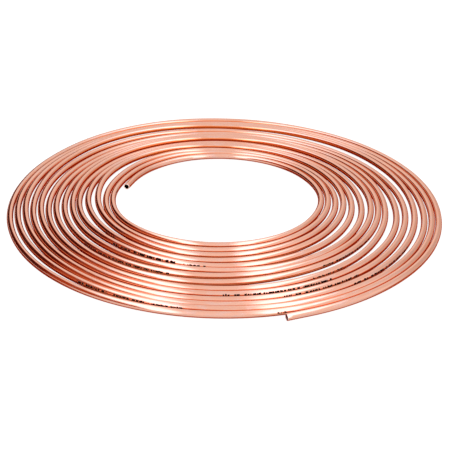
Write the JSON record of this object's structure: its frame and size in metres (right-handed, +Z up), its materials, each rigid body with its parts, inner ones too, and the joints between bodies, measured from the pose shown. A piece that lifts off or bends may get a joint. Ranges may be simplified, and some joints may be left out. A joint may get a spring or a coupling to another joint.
{
  "type": "copper tube coil",
  "caption": "Flat one-layer spiral coil of bright soft copper tube, 6.35 mm outside diameter, with both ends cut open and small gaps between some turns.",
  "frame": {"origin": "middle of the outline's bounding box, at the level of the floor the coil lies on", "axes": "+Z up through the coil's eye; the outer end of the tube is at the front, on the -Y side, and points to -X"},
  "size_m": [0.4332, 0.4464, 0.01],
  "materials": {
    "copper": "bright drawn soft copper, bare"
  },
  "bodies": {
    "root": {"tube": "copper"}
  },
  "joints": []
}
